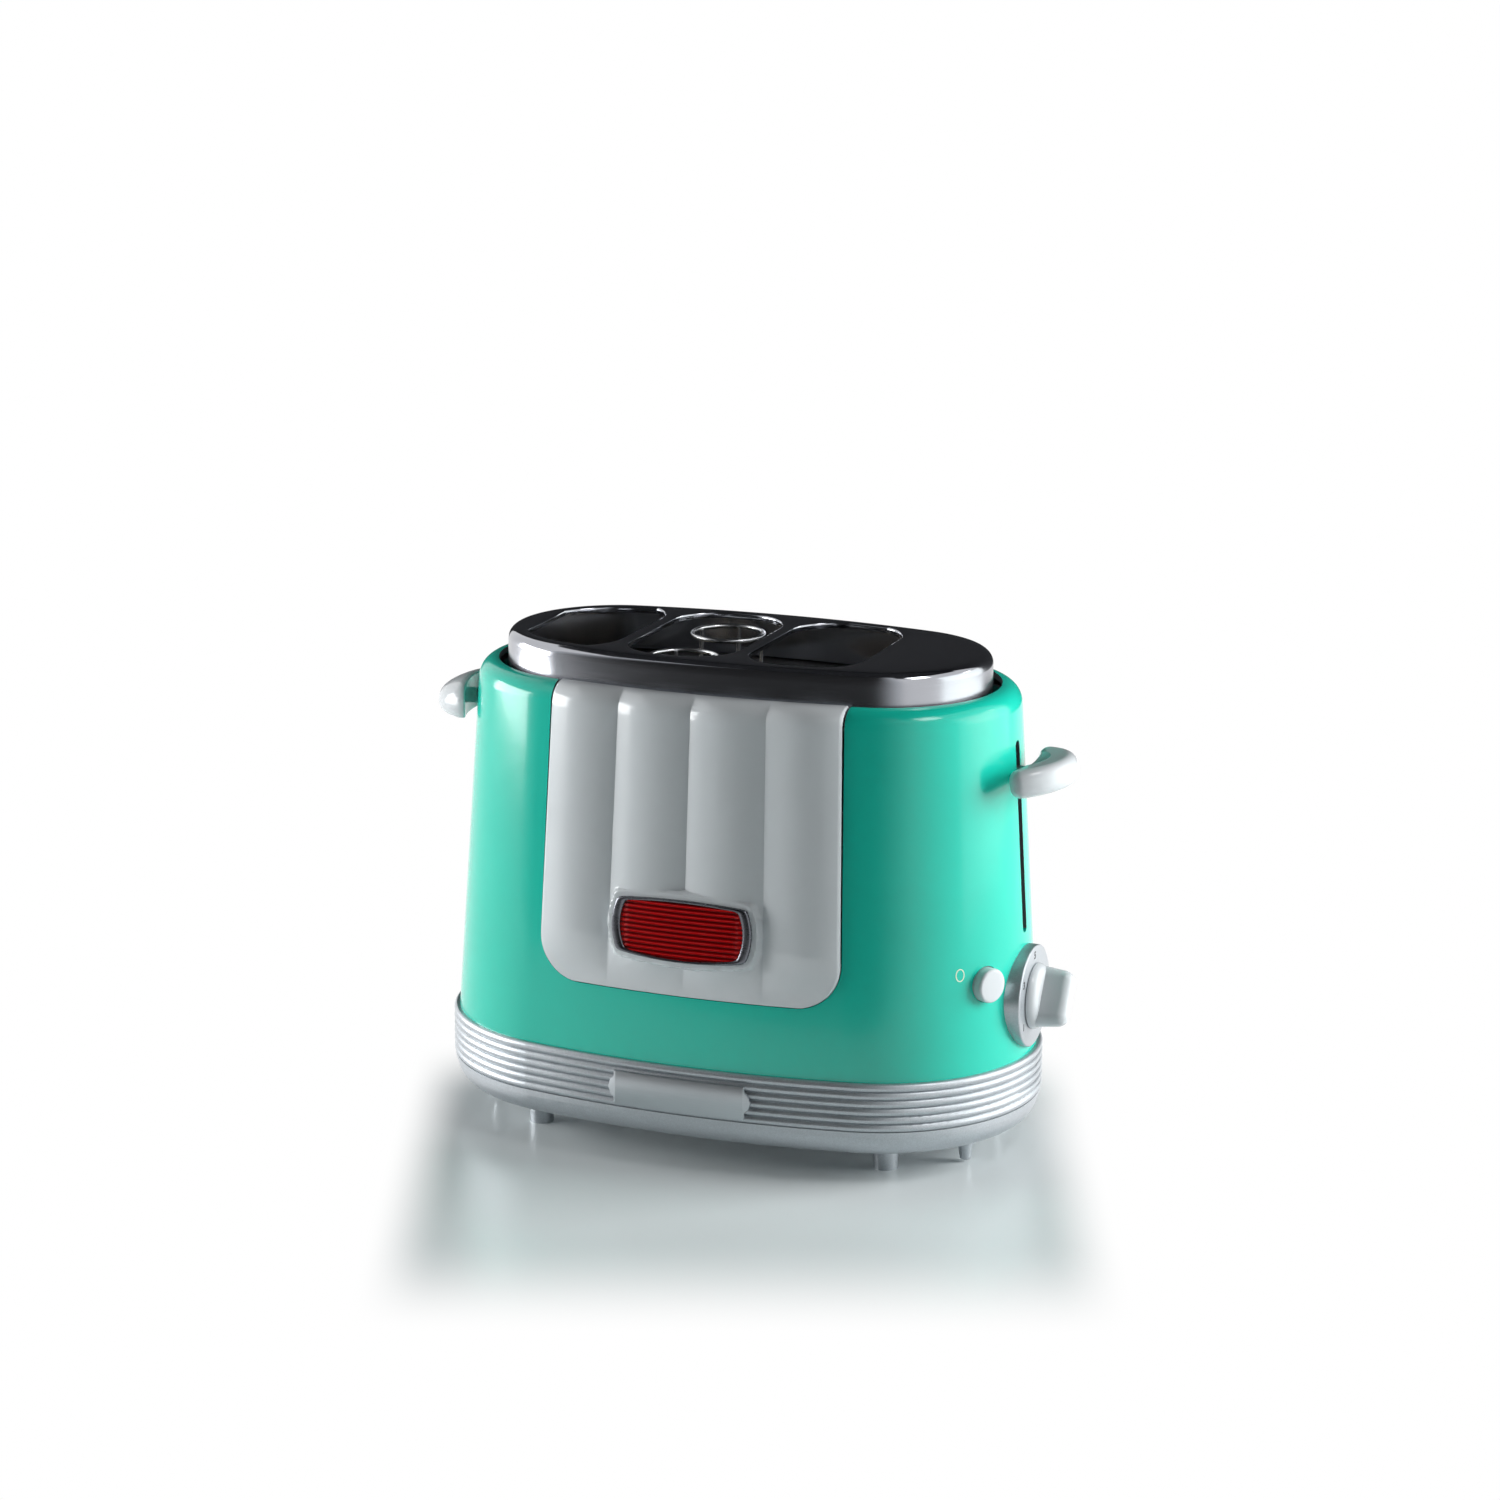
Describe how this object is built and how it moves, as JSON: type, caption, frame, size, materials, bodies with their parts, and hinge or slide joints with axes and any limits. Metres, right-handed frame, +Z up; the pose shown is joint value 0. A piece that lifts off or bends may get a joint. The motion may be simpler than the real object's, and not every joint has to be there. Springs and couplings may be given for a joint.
{
  "type": "hot dog maker",
  "caption": "Oval table-top hot dog maker with a fluted front panel, ribbed base, steel top with two bun wells and a sausage well, two lift levers, browning dial, stop button and crumb tray.",
  "frame": {"origin": "on the table under the middle of the oval body", "axes": "+X towards the end with the dial, -Y out of the fluted front, +Z up"},
  "size_m": [0.2868, 0.1609, 0.2118],
  "materials": {
    "teal_gloss": "gloss",
    "pale_gloss": "gloss",
    "white_gloss": "gloss",
    "red_gloss": "gloss",
    "silver_paint": "satin",
    "dark_plastic": "matte",
    "board_plastic": "matte",
    "mica_board": "matte",
    "dark_chrome": "polished",
    "polished_steel": "polished",
    "satin_steel": "satin",
    "inner_steel": "satin",
    "wire_steel": "polished",
    "magnet_iron": "matte"
  },
  "bodies": {
    "housing": {"shell": "teal_gloss", "front_panel": "pale_gloss", "badge_bezel": "dark_chrome", "badge_insert": "red_gloss", "base": "silver_paint", "name_plate": "satin_steel", "feet": "silver_paint", "cord_posts": "silver_paint", "cord_inlet": "dark_plastic", "base_screws": "inner_steel", "top_plate": "polished_steel", "top_deck": "inner_steel", "lower_deck": "inner_steel", "left_end_plate": "inner_steel", "right_end_plate": "inner_steel", "bun_guards": "wire_steel", "bun_guide_rod": "wire_steel", "sausage_guide_rod": "wire_steel", "dial_bezel": "silver_paint", "timer_pot": "dark_plastic", "stop_switch": "dark_plastic", "control_board": "board_plastic", "magnet_shelf": "inner_steel", "latch_magnet": "magnet_iron", "left_outer_heater": "mica_board", "left_inner_heater": "mica_board", "right_inner_heater": "mica_board", "right_outer_heater": "mica_board"},
    "bun_lift": {"bun_carriage": "inner_steel", "bun_lift_bar": "inner_steel", "bun_rests": "inner_steel", "latch_armature": "inner_steel", "start_lever": "white_gloss", "bun_spring": "wire_steel"},
    "sausage_lift": {"sausage_carriage": "inner_steel", "sausage_rests": "inner_steel", "front_sausage_cage": "wire_steel", "back_sausage_cage": "wire_steel", "lift_lever": "white_gloss", "sausage_spring": "wire_steel"},
    "knob": {"browning_knob": "white_gloss", "knob_shaft": "inner_steel"},
    "button": {"stop_button": "white_gloss"},
    "tray": {"crumb_tray": "inner_steel", "tray_front": "silver_paint"}
  },
  "joints": [
    {"name": "bun_slide", "type": "slide", "parent": "housing", "child": "bun_lift", "axis": [0, 0, 1], "range_m": [-0.06, 0.008], "stiffness_N_per_m": 60, "deforming": ["bun_spring"]},
    {"name": "sausage_slide", "type": "slide", "parent": "housing", "child": "sausage_lift", "axis": [0, 0, 1], "range_m": [-0.06, 0.008], "stiffness_N_per_m": 60, "deforming": ["sausage_spring"]},
    {"name": "knob_turn", "type": "hinge", "parent": "housing", "child": "knob", "pos_m": [0.1286, 0, 0.0695], "axis": [1, 0, 0], "range_deg": [-168, 0]},
    {"name": "button_push", "type": "slide", "parent": "housing", "child": "button", "axis": [-0.8854, 0.4648, 0], "range_m": [0, 0.0025], "stiffness_N_per_m": 900},
    {"name": "tray_slide", "type": "slide", "parent": "housing", "child": "tray", "axis": [0, 1, 0], "range_m": [0, 0.11]}
  ]
}
